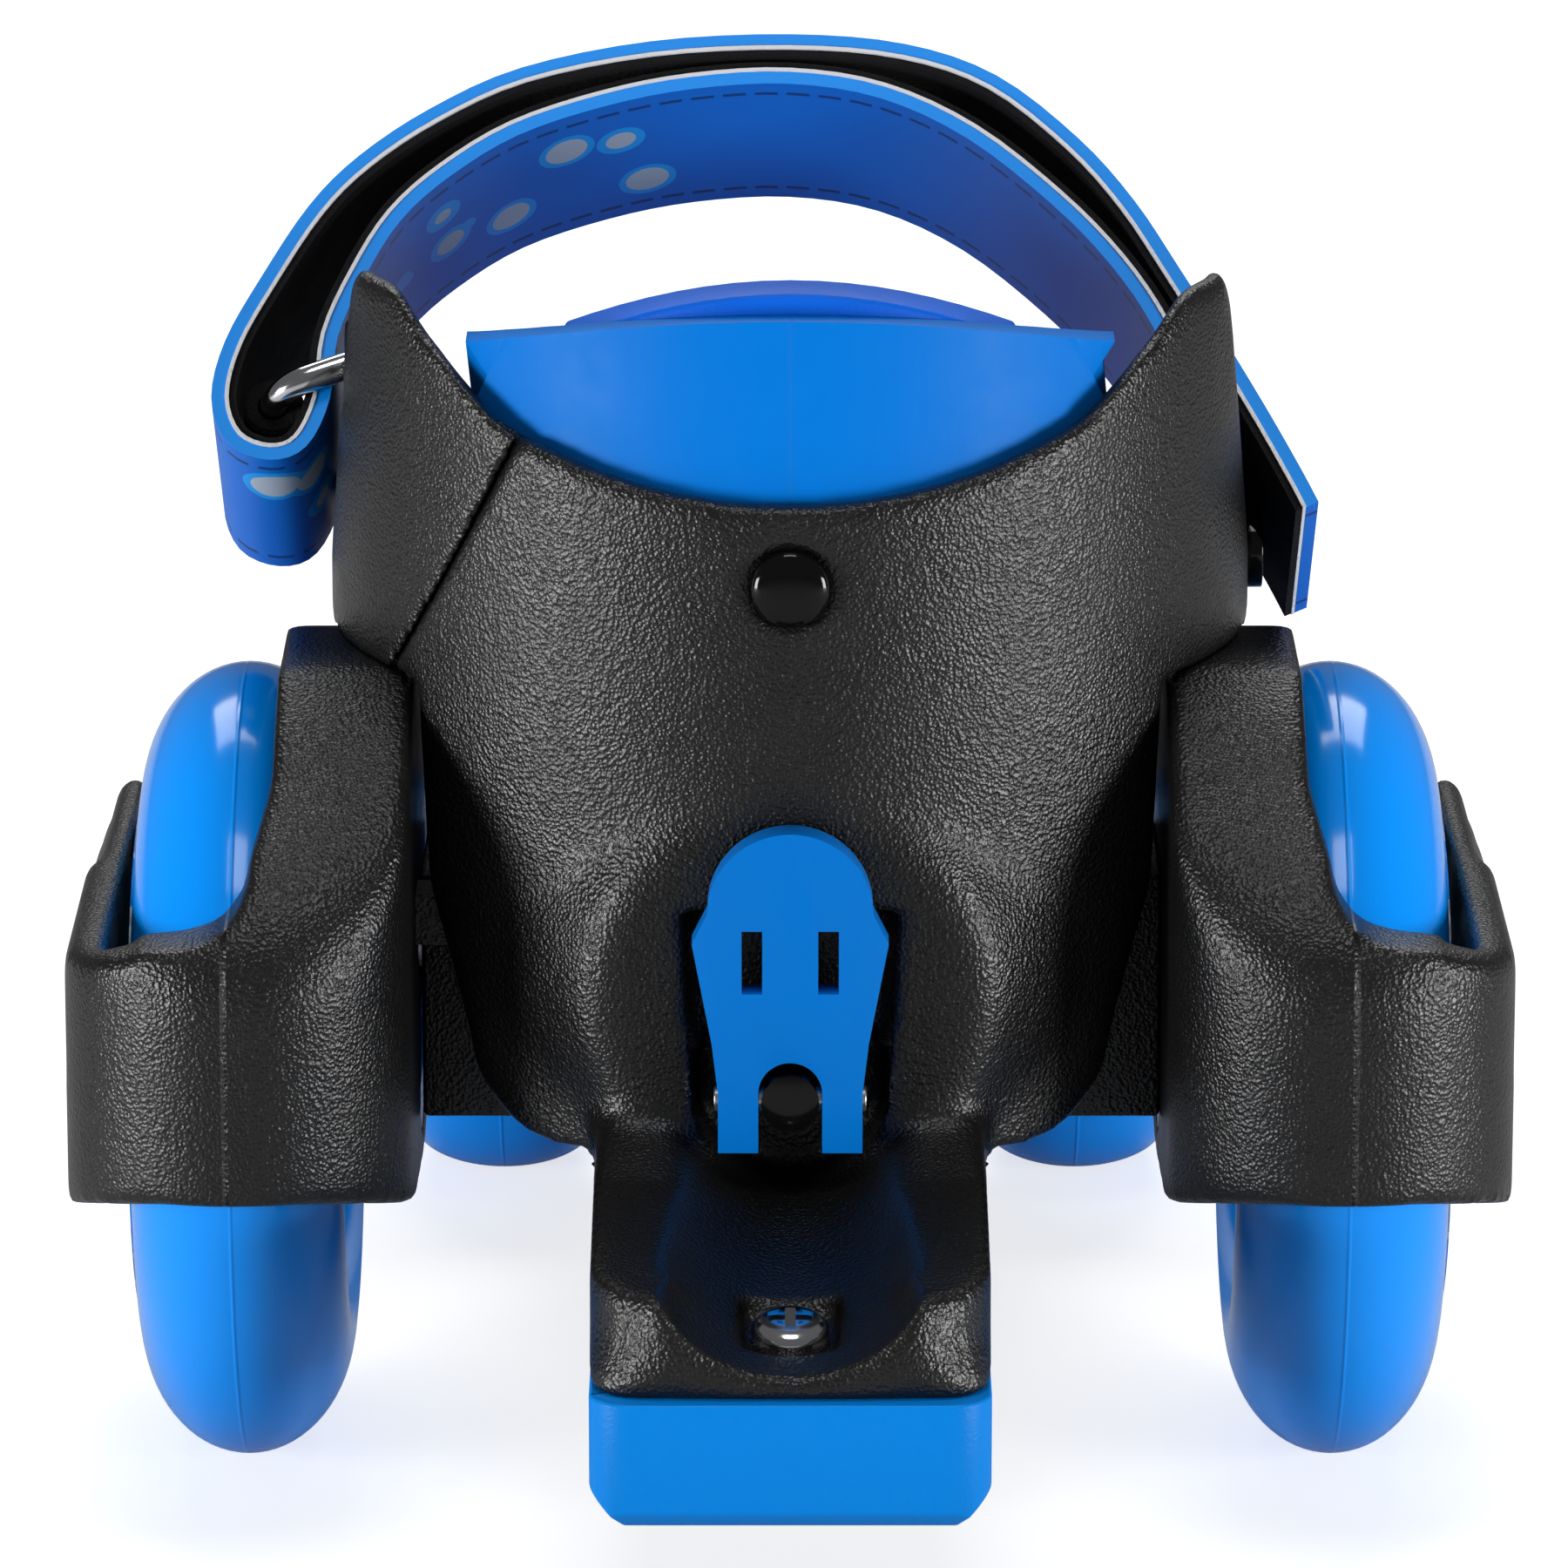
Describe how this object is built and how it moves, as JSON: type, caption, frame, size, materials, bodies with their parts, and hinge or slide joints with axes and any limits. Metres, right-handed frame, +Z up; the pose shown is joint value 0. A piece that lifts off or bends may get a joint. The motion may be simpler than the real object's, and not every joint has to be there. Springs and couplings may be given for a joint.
{
  "type": "clip on roller skate",
  "caption": "Clip-on heel skate: a heel cup with strap between two large rear wheels and two small front ones, with a rear brake and a lever that widens the cup.",
  "frame": {"origin": "Middle of the part's bounding box, on the floor", "axes": "+X to the wearer's right, +Y the way of travel, +Z up from the floor"},
  "size_m": [0.1416, 0.195, 0.1384],
  "materials": {
    "black_plastic": "grained satin black",
    "blue_plastic": "smooth satin blue",
    "blue_foam": "soft moulded blue foam",
    "blue_urethane": "glossy blue urethane",
    "hub_plastic": "moulded blue",
    "printed_disc": "white disc with a blue wave print",
    "brake_rubber": "matte blue rubber",
    "black_rivet": "glossy black",
    "steel": "plain steel",
    "chrome": "polished",
    "blue_band": "blue coated band with stitched edges",
    "hook_and_loop": "black fleece"
  },
  "bodies": {
    "frame": {"heel_shell": "black_plastic", "right_fender": "black_plastic", "axle_beam": "black_plastic", "keel": "black_plastic", "heel_cradle": "blue_plastic", "heel_cushion": "blue_foam", "liner_rivet": "black_rivet", "brake_pad": "brake_rubber", "brake_screw": "chrome", "strap": "blue_band", "hook_tape": "hook_and_loop", "strap_rivet": "black_rivet", "right_axle": "steel", "right_axle_nut": "steel", "right_washers": "steel", "front_axle": "steel", "front_axle_nuts": "steel", "front_spacers": "steel"},
    "left_side": {"left_wing": "black_plastic", "left_fender": "black_plastic", "rack": "black_plastic", "guide_rods": "steel", "strap_ring": "chrome", "left_axle": "steel", "left_axle_nut": "steel", "left_washers": "steel"},
    "spindle_body": {"spindle": "black_rivet", "spindle_clip": "steel", "pinion": "steel"},
    "lever_body": {"lever": "blue_plastic", "lever_pin": "steel"},
    "rear_right_wheel": {"right_tyre": "blue_urethane", "right_hub": "hub_plastic", "right_hub_cover": "printed_disc", "right_bearings": "steel", "right_spacer": "steel"},
    "rear_left_wheel": {"left_tyre": "blue_urethane", "left_hub": "hub_plastic", "left_hub_cover": "printed_disc", "left_bearings": "steel", "left_spacer": "steel"},
    "front_right_wheel": {"front_right_tyre": "blue_urethane", "front_right_hub": "hub_plastic", "front_right_bearings": "steel"},
    "front_left_wheel": {"front_left_tyre": "blue_urethane", "front_left_hub": "hub_plastic", "front_left_bearings": "steel"}
  },
  "joints": [
    {"name": "width_slide", "type": "slide", "parent": "frame", "child": "left_side", "axis": [-1, 0, 0], "range_m": [0, 0.008], "deforming": ["strap", "hook_tape"]},
    {"name": "spindle_turn", "type": "hinge", "parent": "frame", "child": "spindle_body", "pos_m": [0, -0.0495, 0.0477], "axis": [0, -1, 0], "range_deg": [0, 58]},
    {"name": "lever_flip", "type": "hinge", "parent": "spindle_body", "child": "lever_body", "pos_m": [0, -0.0597, 0.0477], "axis": [1, 0, 0], "range_deg": [0, 95]},
    {"name": "rear_right_spin", "type": "hinge", "parent": "frame", "child": "rear_right_wheel", "pos_m": [0.0545, -0.0195, 0.04], "axis": [1, 0, 0], "continuous": true},
    {"name": "rear_left_spin", "type": "hinge", "parent": "left_side", "child": "rear_left_wheel", "pos_m": [-0.0545, -0.0195, 0.04], "axis": [1, 0, 0], "continuous": true},
    {"name": "front_right_spin", "type": "hinge", "parent": "frame", "child": "front_right_wheel", "pos_m": [0.0315, 0.0755, 0.022], "axis": [1, 0, 0], "continuous": true},
    {"name": "front_left_spin", "type": "hinge", "parent": "frame", "child": "front_left_wheel", "pos_m": [-0.0315, 0.0755, 0.022], "axis": [1, 0, 0], "continuous": true}
  ],
  "couplings": [
    {"joint": "spindle_turn", "follows": "width_slide", "rad_per_m": 125}
  ]
}
